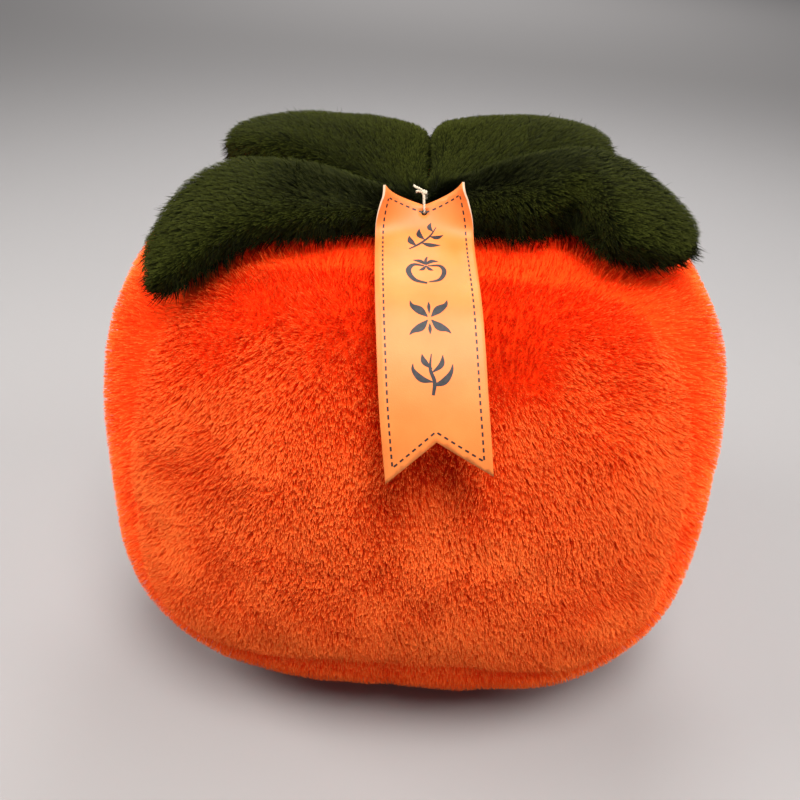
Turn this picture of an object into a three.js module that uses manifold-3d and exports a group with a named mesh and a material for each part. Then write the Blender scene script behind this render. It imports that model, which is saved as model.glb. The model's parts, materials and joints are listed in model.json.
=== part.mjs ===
// Plush cushion in the shape of a persimmon: a stuffed body of three sewn panels,
// four padded calyx leaves on its top, and a leather-look ribbon tag tied to the calyx.
// Millimetres, +Z up. The origin is the middle of the flat spot that the cushion stands on;
// -Y is the front, where the tag hangs.
import * as THREE from 'three';
import { mergeVertices } from 'three/addons/utils/BufferGeometryUtils.js';
import Module from 'manifold-3d';

const wasm = await Module();
wasm.setup();

// Body: a superellipsoid, squarer in its front outline than in its depth
const HALF_WIDTH = 225;
const HALF_HEIGHT = 200;
const HALF_DEPTH = 180;
const OUTLINE_POWER = 3.12;
const DEPTH_POWER = 2.6;
const TAPER = -0.046;            // share by which the top is narrower than the middle
const BASE_PRESS = 5;            // how far the underside is pressed flat
const DIP_DEPTH = 34;            // the calyx pulls the middle of the top down
const DIP_SPREAD = 58;

// Cover: three panels of plush, backing and pile together, round a fibre core
const COVER_THICK = 8;
const FILLING_GAP = 2.5;
const SEAM_HALF_GAP = 0.25;
const LEAN_FACTOR = 1.6;         // the cover bends faster at the seams than a circle of its depth
const SEAM_SIDE = 0.72;          // seam depth over half depth, at the sides
const SEAM_BOTTOM = 0.95;
const SEAM_TOP = 0.58;
const SEAM_LOW = [0.28, 0.93];   // from and to which height share the seam swings to the bottom's depth
const SEAM_HIGH = [0.4, 0.9];    // and to the top's
const TURNS = 40;                // facets round the front outline

// Leaves: each outline is spread flat over the top and starts beside the calyx centre. The front
// leaves leave room for the tag; root and tip are shares of the thickness, edge rounds the rim.
const LEAVES = [
  {
    name: 'leaf_front_left', middle: [-80, -58], thick: 24, lift: 5, root: 0.95, tip: 1, edge: 3.2,
    outline: [
      [-3, -4], [-46, -3], [-90, -8], [-123, -17], [-146, -42], [-155, -70], [-154, -93], [-146, -109],
      [-124, -107], [-103, -101], [-83, -97], [-60, -93], [-38, -81], [-12, -63], [-3, -36],
    ],
  },
  {
    name: 'leaf_front_right', middle: [88, -42], thick: 42, lift: 9, root: 0.9, tip: 0.65, edge: 2.8,
    outline: [
      [4, -4], [45, -2], [92, -4], [122, -10], [144, -25], [157, -45], [150, -71], [128, -90],
      [106, -95], [94, -80], [85, -70], [72, -71], [57, -77], [40, -72], [16, -60], [4, -36],
    ],
  },
  {
    name: 'leaf_back_left', middle: [-66, 58], thick: 28, lift: 5, root: 0.7, tip: 1, edge: 3.2,
    outline: [
      [-4, 5], [-49, 6], [-87, 9], [-117, 13], [-140, 34], [-143, 67], [-126, 100], [-98, 117],
      [-62, 124], [-28, 124], [-6, 114], [-3, 82], [-3, 39],
    ],
  },
  {
    name: 'leaf_back_right', middle: [64, 58], thick: 34, lift: 5, root: 0.7, tip: 1, edge: 3.4,
    outline: [
      [4, 4], [48, 4], [89, 5], [114, 15], [128, 39], [128, 69], [114, 97], [92, 114], [62, 123],
      [30, 124], [6, 116], [3, 83], [3, 39],
    ],
  },
];
const FLAT_SCALE = 200;          // millimetres on the spread-out pattern for a radian of arc
const LEAF_REACH = 180;          // from the calyx centre to a leaf's far corner
const LEAF_GAP = 2.2;
const LEAF_RIM = 3;              // thickness left at a leaf's edge
const LIFT_SPAN = [0.4, 1];      // shares of the reach over which a leaf lifts off the body,
const ROOT_SPAN = [0, 0.65];     // grows from its root's thickness
const TIP_SPAN = [0.5, 0.9];     // and thins towards its tip
const LEAF_TURNS = 32;
const LEAF_RINGS = 12;

// Tag: a stiff ribbon with a notch at each end; its middle line runs from the horns downwards
const TAG_LINE = [
  [-2, -68, 209], [-1, -73, 200], [0, -83, 189], [1, -97, 184], [2, -111, 181],
  [5, -143, 171], [8, -165, 154], [11, -182, 134], [14, -193, 115.5], [17, -200, 96],
];
const TAG_WIDTH = 57.5;
const TAG_THICK = 1.4;
const TAG_TOP_NOTCH = 10;
const TAG_BOTTOM_NOTCH = 21;
const TAG_CURL = 1.17;           // radians that each top corner is curled forwards
const TAG_CURL_LENGTH = 36;
const LEAST_CURL = 1e-3;         // keeps the curl's radius finite where the tag is flat
const TAG_HOLE_RADIUS = 1.8;
const TAG_HOLE_BELOW_NOTCH = 4.5;
const TAG_ACROSS = 8;
const TAG_ALONG = 26;

// Thread: ties the tag to the calyx centre
const THREAD_RADIUS = 0.8;
const THREAD_CLEAR = 2.4;        // from the tag's middle plane to the thread beside it
const KNOT_RADIUS = 2.4;
const KNOT_HEIGHT = 16;          // above the body, in the middle of the calyx
const THREAD_OVER = 3;           // behind the notch, where the thread comes over the tag's edge
const THREAD_ONTO = 1;           // past the notch, where it lies beside the tag

// Finish of each sub-part: colour and roughness
const FINISHES = {
  plush: [0xf0481a, 0.95],
  leaf: [0x2a3617, 0.95],
  fibre: [0xf4f1ea, 1],
  tag: [0xf7a45e, 0.45],
  thread: [0xf3e9d6, 0.8],
};

function signedPower(value, power) {
  return Math.sign(value) * Math.pow(Math.abs(value), power);
}

function smoothstep(value) {
  const t = Math.min(Math.max(value, 0), 1);
  return t * t * (3 - 2 * t);
}

// Smooth rise from 0 to 1 over a span
function rise(value, [from, to]) {
  return smoothstep((value - from) / (to - from));
}

// Outward normal of the undeformed body through a point
function bodyNormal(point) {
  const x = point.x / HALF_WIDTH;
  const y = point.y / HALF_DEPTH;
  const z = point.z / HALF_HEIGHT;
  const ring = (Math.abs(x) ** OUTLINE_POWER + Math.abs(z) ** OUTLINE_POWER) ** (1 / OUTLINE_POWER);
  const share = ring > 0 ? ring ** (DEPTH_POWER - OUTLINE_POWER) : 0;
  return new THREE.Vector3(
    share * signedPower(x, OUTLINE_POWER - 1) / HALF_WIDTH,
    signedPower(y, DEPTH_POWER - 1) / HALF_DEPTH,
    share * signedPower(z, OUTLINE_POWER - 1) / HALF_HEIGHT,
  ).normalize();
}

// Narrow the top, sink its middle, press the underside flat and stand the body on z = 0
function settle(point) {
  point.x *= 1 + TAPER * point.z / HALF_HEIGHT;
  const reach2 = (point.x ** 2 + point.y ** 2) / (2 * DIP_SPREAD ** 2);
  point.z -= DIP_DEPTH * Math.exp(-reach2) * smoothstep(point.z / HALF_HEIGHT);
  point.z = Math.max(point.z + HALF_HEIGHT - BASE_PRESS, 0);
  return point;
}

// Point of the body's surface: turn goes round the front outline, lean from front pole to back pole
function bodyPoint(turn, lean, offset) {
  const ring = Math.pow(Math.sin(lean), 2 / DEPTH_POWER);
  const outline = (Math.abs(Math.cos(turn) / HALF_WIDTH) ** OUTLINE_POWER
    + Math.abs(Math.sin(turn) / HALF_HEIGHT) ** OUTLINE_POWER) ** (-1 / OUTLINE_POWER);
  const point = new THREE.Vector3(
    ring * outline * Math.cos(turn),
    -HALF_DEPTH * signedPower(Math.cos(lean), 2 / DEPTH_POWER),
    ring * outline * Math.sin(turn),
  );
  return settle(point.addScaledVector(bodyNormal(point), offset));
}

// Point over the top, from a place on the spread-out pattern and a height over the surface
function topPoint(across, along, height) {
  const arc = Math.hypot(across, along) / FLAT_SCALE;
  const bearing = Math.atan2(along, across);
  const ray = new THREE.Vector3(
    Math.sin(arc) * Math.cos(bearing), Math.sin(arc) * Math.sin(bearing), Math.cos(arc));
  const outline = Math.abs(ray.x / HALF_WIDTH) ** OUTLINE_POWER
    + Math.abs(ray.z / HALF_HEIGHT) ** OUTLINE_POWER;
  const level = outline ** (DEPTH_POWER / OUTLINE_POWER) + Math.abs(ray.y / HALF_DEPTH) ** DEPTH_POWER;
  const point = ray.multiplyScalar(level ** (-1 / DEPTH_POWER));
  return settle(point.addScaledVector(bodyNormal(point), height));
}

// Angle from the front pole to the seam that joins the front panel to the side band
function seamLean(turn) {
  const low = rise(-Math.sin(turn), SEAM_LOW);
  const high = rise(Math.sin(turn), SEAM_HIGH);
  const depth = SEAM_SIDE + (SEAM_BOTTOM - SEAM_SIDE) * low + (SEAM_TOP - SEAM_SIDE) * high;
  return Math.acos(depth ** (DEPTH_POWER / 2));
}

// Move every vertex of a geometry, weld it and turn its faces outwards
function reshape(geometry, place) {
  geometry.deleteAttribute('normal');
  geometry.deleteAttribute('uv');
  const position = geometry.getAttribute('position');
  const vertex = new THREE.Vector3();
  for (let i = 0; i < position.count; i += 1) {
    place(vertex.fromBufferAttribute(position, i));
    position.setXYZ(i, vertex.x, vertex.y, vertex.z);
  }
  return faceOutwards(mergeVertices(geometry, 1e-4));
}

function faceOutwards(geometry) {
  const position = geometry.getAttribute('position');
  const index = geometry.getIndex();
  const corner = [0, 1, 2].map(() => new THREE.Vector3());
  let volume = 0;
  for (let i = 0; i < index.count; i += 3) {
    corner.forEach((point, k) => point.fromBufferAttribute(position, index.getX(i + k)));
    volume += corner[0].dot(corner[1].cross(corner[2]));
  }
  if (volume < 0) {
    for (let i = 0; i < index.count; i += 3) {
      const first = index.getX(i);
      index.setX(i, index.getX(i + 2));
      index.setX(i + 2, first);
    }
  }
  return geometry;
}

function finish(name, geometry, [color, roughness]) {
  geometry.computeVertexNormals();
  const mesh = new THREE.Mesh(geometry, new THREE.MeshStandardMaterial({ color, roughness, metalness: 0 }));
  mesh.name = name;
  return mesh;
}

// A cover panel: a closed profile of share (0 to 1 over the panel) and depth below the surface,
// turned into a ring or, from the axis, into a disc, and laid on the body
function coverPanel(name, shares, fromAxis, leanAt) {
  const outer = shares.map((share) => new THREE.Vector2(share, 0));
  const inner = shares.map((share) => new THREE.Vector2(share, -COVER_THICK)).reverse();
  const profile = [...outer, ...inner];
  if (!fromAxis) {
    profile.push(outer[0].clone());
    profile.forEach((point) => { point.x += 1; });
  }
  const start = fromAxis ? 0 : 1;
  const geometry = reshape(new THREE.LatheGeometry(profile, TURNS), (v) => {
    const turn = Math.atan2(v.z, v.x);
    const share = Math.hypot(v.x, v.z) - start;
    v.copy(bodyPoint(turn, leanAt(share, turn), v.y));
  });
  return finish(name, geometry, FINISHES.plush);
}

function steps(count) {
  return Array.from({ length: count + 1 }, (_, i) => i / count);
}

function makeFilling() {
  const ball = new THREE.SphereGeometry(1, TURNS, 22);
  const geometry = reshape(ball, (v) => {
    const lean = Math.acos(THREE.MathUtils.clamp(-v.y, -1, 1));
    v.copy(bodyPoint(Math.atan2(v.z, v.x), lean, -COVER_THICK - FILLING_GAP));
  });
  return finish('filling', geometry, FINISHES.fibre);
}

// A leaf's pad, from its middle out to its outline
function makeLeaf({ name, outline, middle, thick, lift, root, tip, edge }) {
  const { lerp } = THREE.MathUtils;
  const rim = new THREE.CatmullRomCurve3(
    outline.map(([x, y]) => new THREE.Vector3(x, y, 0)), true, 'centripetal');
  const centre = new THREE.Vector3(...middle, 0);
  const ball = new THREE.SphereGeometry(1, LEAF_TURNS, LEAF_RINGS);
  const geometry = reshape(ball, (v) => {
    const turn = Math.atan2(v.z, v.x) / (2 * Math.PI) + 1;
    const spread = Math.min(Math.hypot(v.x, v.z), 1);
    const flat = centre.clone().lerp(rim.getPoint(turn % 1), spread);
    const outward = Math.hypot(flat.x, flat.y) / LEAF_REACH;
    const under = LEAF_GAP + lift * rise(outward, LIFT_SPAN);
    const full = thick * lerp(root, 1, rise(outward, ROOT_SPAN)) * lerp(1, tip, rise(outward, TIP_SPAN));
    const crown = (1 - spread ** edge) ** (1 / edge);
    const height = v.y >= 0 ? under + LEAF_RIM + (full - LEAF_RIM) * crown : under;
    v.copy(topPoint(flat.x, flat.y, height));
  });
  return finish(name, geometry, FINISHES.leaf);
}

// Place on the tag's ribbon: across runs -1 to 1, along in millimetres from the horns, off in
// millimetres from its middle plane
function tagPlacer() {
  const stand = HALF_HEIGHT - BASE_PRESS;
  const line = new THREE.CatmullRomCurve3(
    TAG_LINE.map(([x, y, z]) => new THREE.Vector3(x, y, z + stand)), false, 'centripetal');
  const length = line.getLength();
  const sideways = new THREE.Vector3(1, 0, 0);
  const place = (across, along, off) => {
    const share = THREE.MathUtils.clamp(along / length, 0, 1);
    const tangent = line.getTangentAt(share);
    const normal = tangent.clone().cross(sideways).normalize();
    const width = normal.clone().cross(tangent).normalize();
    const curl = Math.max(TAG_CURL * (1 - smoothstep(along / TAG_CURL_LENGTH)), LEAST_CURL);
    const angle = curl * across;
    const radius = TAG_WIDTH / 2 / curl;
    const spread = radius * Math.sin(angle);
    const forward = radius * (1 - Math.cos(angle));
    return line.getPointAt(share)
      .addScaledVector(width, spread - off * Math.sin(angle))
      .addScaledVector(normal, forward + off * Math.cos(angle));
  };
  return { place, length };
}

function toManifold(geometry) {
  return new wasm.Manifold(new wasm.Mesh({
    numProp: 3,
    vertProperties: new Float32Array(geometry.getAttribute('position').array),
    triVerts: new Uint32Array(geometry.getIndex().array),
  }));
}

function fromManifold(solid) {
  const { vertProperties, triVerts } = solid.getMesh();
  const geometry = new THREE.BufferGeometry();
  geometry.setAttribute('position', new THREE.BufferAttribute(new Float32Array(vertProperties), 3));
  geometry.setIndex(new THREE.BufferAttribute(new Uint32Array(triVerts), 1));
  return geometry;
}

const tag = tagPlacer();
const holeAlong = TAG_TOP_NOTCH + TAG_HOLE_BELOW_NOTCH;

function makeTag() {
  const slab = new THREE.BoxGeometry(2, 1, 1, TAG_ACROSS, TAG_ALONG, 1);
  const ribbon = reshape(slab, (v) => {
    const inward = 1 - Math.abs(v.x);
    const top = TAG_TOP_NOTCH * inward;
    const bottom = tag.length - TAG_BOTTOM_NOTCH * inward;
    v.copy(tag.place(v.x, THREE.MathUtils.lerp(top, bottom, 0.5 - v.y), v.z * TAG_THICK));
  });
  const centre = tag.place(0, holeAlong, 0);
  const axis = tag.place(0, holeAlong, 1).sub(centre).normalize();
  const drill = new THREE.CylinderGeometry(TAG_HOLE_RADIUS, TAG_HOLE_RADIUS, 4 * TAG_THICK, 10);
  const turnUp = new THREE.Quaternion().setFromUnitVectors(new THREE.Vector3(0, 1, 0), axis);
  const hole = reshape(drill, (v) => v.applyQuaternion(turnUp).add(centre));
  return finish('tag', fromManifold(toManifold(ribbon).subtract(toManifold(hole))), FINISHES.tag);
}

// From the body up to the knot, over the notch to the tag's face, and back through its hole
function makeThread() {
  const root = topPoint(0, 0, 1);
  const knot = topPoint(0, 0, KNOT_HEIGHT);
  const over = tag.place(0, TAG_TOP_NOTCH - THREAD_OVER, THREAD_CLEAR / 2);
  const line = new THREE.CatmullRomCurve3([
    root,
    knot,
    knot.clone().lerp(over, 0.5),
    over,
    tag.place(0, TAG_TOP_NOTCH + THREAD_ONTO, THREAD_CLEAR),
    tag.place(0, holeAlong, THREAD_CLEAR),
    tag.place(0, holeAlong, -THREAD_CLEAR),
    tag.place(0, TAG_TOP_NOTCH + THREAD_ONTO, -THREAD_CLEAR),
  ], false, 'centripetal');
  const section = new THREE.Shape().absarc(0, 0, THREAD_RADIUS, 0, 2 * Math.PI);
  const cord = new THREE.ExtrudeGeometry(
    section, { steps: 40, curveSegments: 3, bevelEnabled: false, extrudePath: line });
  const strand = reshape(cord, (v) => v);
  const bead = reshape(new THREE.SphereGeometry(KNOT_RADIUS, 8, 6), (v) => v.add(knot));
  return finish('tag_thread', fromManifold(toManifold(strand).add(toManifold(bead))), FINISHES.thread);
}

const leanGap = LEAN_FACTOR * SEAM_HALF_GAP / HALF_DEPTH;
const persimmonCushion = new THREE.Group();
persimmonCushion.add(
  makeFilling(),
  coverPanel('front_panel', steps(7), true, (share, turn) => share * (seamLean(turn) - leanGap)),
  coverPanel('side_band', steps(14), false, (share, turn) => {
    const edge = seamLean(turn) + leanGap;
    return edge + share * (Math.PI - 2 * edge);
  }),
  coverPanel('back_panel', steps(7), true, (share, turn) => Math.PI - share * (seamLean(turn) - leanGap)),
  ...LEAVES.map(makeLeaf),
  makeTag(),
  makeThread(),
);

export default persimmonCushion;
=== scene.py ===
# Plush cushion in the shape of a persimmon: three sewn plush panels round a filling, four padded
# calyx leaves on top, and a printed ribbon tag on a thread. Metres, +Z up; -Y is the front.
# The pile is modelled: every strand is a thin triangle or a bent blade, rooted on a skin.
import json
import math

import bpy
import numpy as np
from mathutils import Matrix, Vector
from mathutils.geometry import delaunay_2d_cdt

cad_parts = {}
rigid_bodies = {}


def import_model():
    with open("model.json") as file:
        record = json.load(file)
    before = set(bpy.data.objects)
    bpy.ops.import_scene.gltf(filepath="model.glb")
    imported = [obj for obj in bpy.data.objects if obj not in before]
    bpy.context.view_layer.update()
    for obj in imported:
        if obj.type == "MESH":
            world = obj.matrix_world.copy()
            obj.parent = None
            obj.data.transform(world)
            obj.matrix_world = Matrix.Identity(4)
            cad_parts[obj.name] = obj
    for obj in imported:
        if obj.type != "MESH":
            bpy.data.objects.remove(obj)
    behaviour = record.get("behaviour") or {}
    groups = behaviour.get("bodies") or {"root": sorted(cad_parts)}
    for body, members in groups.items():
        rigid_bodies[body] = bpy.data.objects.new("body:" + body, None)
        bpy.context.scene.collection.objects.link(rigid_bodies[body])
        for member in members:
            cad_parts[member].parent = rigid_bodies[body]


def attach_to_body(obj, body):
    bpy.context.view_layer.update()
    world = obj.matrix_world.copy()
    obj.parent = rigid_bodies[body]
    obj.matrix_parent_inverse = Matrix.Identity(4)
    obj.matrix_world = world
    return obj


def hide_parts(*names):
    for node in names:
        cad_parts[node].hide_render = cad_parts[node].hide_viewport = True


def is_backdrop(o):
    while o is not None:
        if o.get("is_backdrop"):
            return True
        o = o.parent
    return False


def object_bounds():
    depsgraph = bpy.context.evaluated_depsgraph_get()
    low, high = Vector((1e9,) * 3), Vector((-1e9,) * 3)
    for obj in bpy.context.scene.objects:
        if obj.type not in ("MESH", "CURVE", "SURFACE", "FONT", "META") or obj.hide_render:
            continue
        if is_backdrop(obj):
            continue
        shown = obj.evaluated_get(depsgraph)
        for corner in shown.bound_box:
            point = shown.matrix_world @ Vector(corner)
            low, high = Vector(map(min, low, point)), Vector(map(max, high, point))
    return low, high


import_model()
solid_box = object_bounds()
SCENE = bpy.context.scene

MM = 0.001
NEAR_ZERO = 1e-9
TINIEST = 1e-12
MAP = "OFBake"
MAP_STEP = 0.004  # half of a strand's width on the map

# Body: a superellipsoid, squarer in its front outline than in its depth
HALF_WIDTH = 225 * MM
HALF_HEIGHT = 200 * MM
HALF_DEPTH = 180 * MM
OUTLINE_POWER = 3.12
DEPTH_POWER = 2.6
TAPER = -0.046
BASE_PRESS = 5 * MM
DIP_DEPTH = 34 * MM
DIP_SPREAD = 58 * MM
SEAM_SIDE = 0.72
SEAM_BOTTOM = 0.95
SEAM_TOP = 0.58
SEAM_LOW = (0.28, 0.93)
SEAM_HIGH = (0.4, 0.9)

# Skin under the pile: its depth below the outer surface, and how its seams pull in
PILE_ROOM = 7.3 * MM
DEEPEST = 9.6 * MM
PANEL_CELLS = 56
BAND_ROWS = 34
SEAM_PULL = 1.2 * MM
SEAM_PULL_WIDTH = 7 * MM
SEAM_PARTING = 0.3  # how far the pile follows the dents in the skin
PUCKER_PULL = 2.3 * MM
PUCKER_TURN = -1.61  # where the front panel's bottom seam is gathered
PUCKER_TURN_WIDTH = 0.07
PUCKER_LEAN = (0.5, 0.35)
LUMP_SIZE = 70 * MM
LUMP_HEIGHT = 1 * MM
SWELL_PRESSURE = 4
SWELL_FRAMES = 20
SWELL_QUALITY = 6
SWELL_CAP = 1.5 * MM  # the most that a skin moves
SEAM_HELD = 2 * MM  # pinned zone along the seams
FLOOR_HELD = 4 * MM  # pinned zone over the floor
FLOOR_CLEAR = 1.2 * MM

# Leaves: each outline is spread flat over the top, in millimetres, and starts beside the calyx
# centre; root and tip are shares of the thickness, edge rounds the rim
LEAVES = (
    dict(
        name="leaf_front_left", middle=(-80, -58), thick=24 * MM, lift=5 * MM,
        root=0.95, tip=1, edge=3.2,
        outline=(
            (-3, -4), (-46, -3), (-90, -8), (-123, -17), (-146, -42), (-155, -70), (-156, -93),
            (-150, -114), (-126, -108), (-103, -101), (-83, -97), (-60, -93), (-38, -81),
            (-12, -63), (-3, -36),
        ),
    ),
    dict(
        name="leaf_front_right", middle=(86, -38), thick=42 * MM, lift=9 * MM,
        root=0.9, tip=0.65, edge=2.8,
        outline=(
            (4, -4), (45, -2), (92, -4), (122, -10), (144, -25), (160, -46), (151, -71),
            (128, -90), (107, -94), (96, -83), (86, -75), (72, -73), (57, -77), (40, -72),
            (16, -60), (4, -36),
        ),
    ),
    dict(
        name="leaf_back_left", middle=(-66, 58), thick=28 * MM, lift=5 * MM,
        root=0.7, tip=1, edge=3.2,
        outline=(
            (-4, 5), (-49, 6), (-87, 9), (-117, 13), (-140, 34), (-143, 67), (-126, 100),
            (-98, 117), (-62, 124), (-28, 124), (-6, 114), (-3, 82), (-3, 39),
        ),
    ),
    dict(
        name="leaf_back_right", middle=(64, 58), thick=34 * MM, lift=5 * MM,
        root=0.7, tip=1, edge=3.4,
        outline=(
            (4, 4), (48, 4), (89, 5), (114, 15), (128, 39), (128, 69), (114, 97), (92, 114),
            (62, 123), (30, 124), (6, 116), (3, 83), (3, 39),
        ),
    ),
)
FLAT_SCALE = 200 * MM
LEAF_REACH = 180 * MM
LEAF_GAP = 2.2 * MM
LEAF_RIM = 3 * MM
LIFT_SPAN = (0.4, 1)
ROOT_SPAN = (0, 0.65)
TIP_SPAN = (0.5, 0.9)
LEAF_CELLS = 28
OUTLINE_STEPS = 48
CURVE_STEPS = 40  # for each point of a line
RIM_CROWDING = 1.5  # draws the skin's points towards the rim
LEAF_PILE_ROOM = 6.5 * MM
LEAF_UNDER_ROOM = 2.5 * MM
OUTER_INSET = 11 * MM  # from a leaf's outline in to its skin, on the open sides
INNER_INSET = 2 * MM  # and where it meets another leaf
INNER_ZONE = 26 * MM
LEAF_HELD = 40 * MM  # pinned round the calyx centre
LEAF_LUMP_SIZE = 35 * MM
LEAF_ROOM_EDGE = 6  # power at which the pile's room closes towards the rim

# Pile: length and the root's half width; lean follows the comb, sway wanders by patch, fuss by tuft
# and stray by strand; gather draws the tips of a tuft together; shag lengthens the strands on parts
# that face down, and painted shade darkens their colour there; uneven is the spread of lengths; blunt
# is the share of strands that are wide at the tip; turned faces the strands outwards
BODY_PILE = dict(
    length=8.6 * MM, width=0.24 * MM, tuft_size=2.4 * MM, lean=0.25, sway=0.3,
    sway_size=26 * MM, fuss=0.11, stray=0.14, gather=0.24, shag=0, blunt=0.6,
    uneven=0.16, painted_shade=0, turned=3.5,
)
LEAF_PILE = dict(
    length=9.5 * MM, width=0.22 * MM, tuft_size=3 * MM, lean=1.9, sway=0.45,
    sway_size=30 * MM, fuss=0.15, stray=0.2, gather=0.24, shag=0.15, blunt=0.5,
    uneven=0.25, painted_shade=0.45, turned=3,
)
FRINGE_PILE = dict(
    length=9.5 * MM, width=0.27 * MM, tuft_size=6 * MM, lean=0.5, sway=0.5,
    sway_size=22 * MM, fuss=0.35, stray=0.4, gather=0.35, shag=0.6, blunt=0,
    uneven=0.4, painted_shade=0.6, turned=1,
)
STRAND_COUNTS = {"front_panel": 190000, "side_band": 182000, "back_panel": 130000}
LEAF_STRANDS = 66000
FRINGE_STRANDS = 11000
FRINGE_DROOP = 0.12  # of a fringe strand's length, by which its middle is raised
LEAF_COMB = np.array([1, 0.35, 0])
LEAF_COMB_FALL = np.array([0, 0, -0.5])
BLUNT_WIDTH = 0.65  # of a blunt strand's tip, against a pointed one's root

LONGEST = 1.05  # of a style's length
LENGTH_DRIFT = 0.1
LENGTH_DRIFT_SIZE = 25 * MM
SHAG_SPAN = (0.55, -0.35)  # upward parts of the skin's normal, from none to all
# Painted shade: none where the skin's normal points this far up, full where it points this far down
PAINTED_SHADE_SPAN = (0.25, -0.35)
WIDTH_RANGE = (0.7, 1.3)
TUFT_TINT = 0.2
PATCH_TINT = 0.1
PATCH_SIZE = 60 * MM
STRAND_TINT = 0.2
TINT_RANGE = (0.02, 0.98)
SKIN_ON_MAP = ((0.35, 0.25, 3 * MM), (0.05, 0.045, 4 * MM))  # tint and height: middle, spread, size
BLADE_NARROWING = 0.75  # of a bent strand's middle, against its root
TUCKED_SHARE = 0.03  # of the pile, under the leaves
TUCKED_ARM = 9 * MM  # half width and length of the places where two leaves meet
TUCKED_REACH = 80 * MM
TUCKED_FRONT = -50 * MM  # further forward than this no pile is tucked in
TUCKED_INSET = 2  # in insets of a leaf's skin
FLOOR_SHARE = 0.3  # of the pile, on the flat spot
FLOOR_ZONE = 4 * MM
UNDER_SHARE = 0.3  # of the pile, on a leaf's underside
FRINGE_SHARES = (0.03, 0.5)  # at least, on the upper and the lower side
FRINGE_SPAN = (0.6, -0.2)  # upward parts of the normal, from no to full fringe
PILE_CLEAR = 0.3 * MM  # over the floor

# Tag: a stiff ribbon, its middle line given from the horns downwards, from the body's centre
TAG_LINE = (
    (-2, -68, 209), (-1, -73, 200), (0, -83, 189), (1, -97, 184), (2, -111, 181),
    (5, -143, 171), (8, -165, 154), (11, -182, 134), (14, -193, 115.5), (17, -200, 96),
)
TAG_WIDTH = 57.5 * MM
TAG_THICK = 1.4 * MM
TAG_TOP_NOTCH = 10 * MM
TAG_BOTTOM_NOTCH = 21 * MM
TAG_CURL = 1.17
TAG_CURL_LENGTH = 36 * MM
LEAST_CURL = 1e-3  # keeps the curl's radius finite where the tag is flat
TAG_STEPS = 600
IN_MM = 1000  # the ribbon's net is drawn in millimetres
JOIN_WITHIN = 1e-6
TAG_HOLE_RADIUS = 1.8 * MM
TAG_HOLE_BELOW_NOTCH = 4.5 * MM
TAG_HOLE_SIDES = 20
TAG_CELL = 2.6 * MM
GRID_START = 0.37 * TAG_CELL
RIM_ROOM = 0.6 * TAG_CELL  # kept free of grid points along the cut edge
HOLE_ROOM = 0.5 * TAG_CELL
HOLE_MIDDLES = 0.97  # of the hole's radius: faces with a middle inside it go
STITCH_INSET = 4.5 * MM
STITCH_PITCH = 4.2 * MM
STITCH_LENGTH = 2.3 * MM
STITCH_WIDTH = 0.95 * MM
INK_SINK = 0.05 * MM
INK_RISE = 0.1 * MM
LEAST_STROKE = 0.25 * MM
STROKE_STEPS = 22
DASH_STEPS = 3

# Brush motifs on the tag: distance down it, then strokes of (across, up, width) in millimetres
SPRIG = (
    ((-9, -10, 1), (-3, -5, 1.5), (3, 2, 1.2), (7, 9, 0.5)),
    ((-5, -7, 0.4), (-8, -3, 3.6), (-9, 2, 0.4)),
    ((-2, -4, 0.4), (3, -6, 3.6), (9, -6, 0.4)),
    ((0, -1, 0.4), (-3, 3, 3.4), (-3, 8, 0.4)),
    ((3, 2, 0.4), (7, 1, 3.2), (11, 3, 0.4)),
    ((5, 6, 0.4), (3, 9, 2.8), (4, 12, 0.4)),
)
FRUIT = (
    ((-1, 4, 1), (-7, 5, 2.4), (-10, 0, 3), (-7, -8, 2.6), (0, -11, 1.4)),
    ((1, 4, 0.8), (8, 4, 2.2), (10, -1, 2.6), (7, -8, 2.2), (1, -10, 0.6)),
    ((0, 5, 0.8), (-3, 8, 2.8), (-7, 9, 0.5)),
    ((0, 5, 0.8), (3, 8, 2.8), (7, 8, 0.5)),
    ((0, 4, 0.6), (-2, 1, 2.2), (-4, 0, 0.4)),
    ((0, 4, 0.6), (2, 1, 2.2), (4, 0, 0.4)),
    ((0, 5, 1.2), (0, 9, 1.6), (1, 12, 0.9)),
)
BLOSSOM = (
    ((-1, 1, 0.6), (-5, 5, 4.6), (-9, 8, 2.4), (-10, 11, 0.4)),
    ((1, 1, 0.6), (5, 5, 4.6), (9, 8, 2.4), (10, 11, 0.4)),
    ((-1, -1, 0.6), (-5, -5, 4.4), (-9, -7, 2.2), (-11, -9, 0.4)),
    ((1, -1, 0.6), (5, -5, 4.4), (9, -7, 2.2), (11, -9, 0.4)),
    ((0, 3, 0.4), (0, 7, 1.8), (0, 10, 0.4)),
    ((0, -3, 0.4), (0, -6, 1.8), (0, -9, 0.4)),
)
SHOOT = (
    ((0, -11, 1.6), (1, -4, 2), (-1, 3, 1.6), (0, 11, 0.5)),
    ((0, -4, 0.6), (-6, -2, 3.4), (-10, 3, 1.8), (-10, 6, 0.4)),
    ((0, -6, 0.6), (6, -4, 3.6), (10, 1, 2), (11, 5, 0.4)),
    ((0, 3, 0.5), (-4, 7, 3), (-5, 11, 0.4)),
    ((0, 1, 0.5), (5, 5, 2.8), (6, 10, 0.4)),
)
MOTIFS = ((33 * MM, SPRIG), (63 * MM, FRUIT), (98 * MM, BLOSSOM), (129 * MM, SHOOT))

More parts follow.
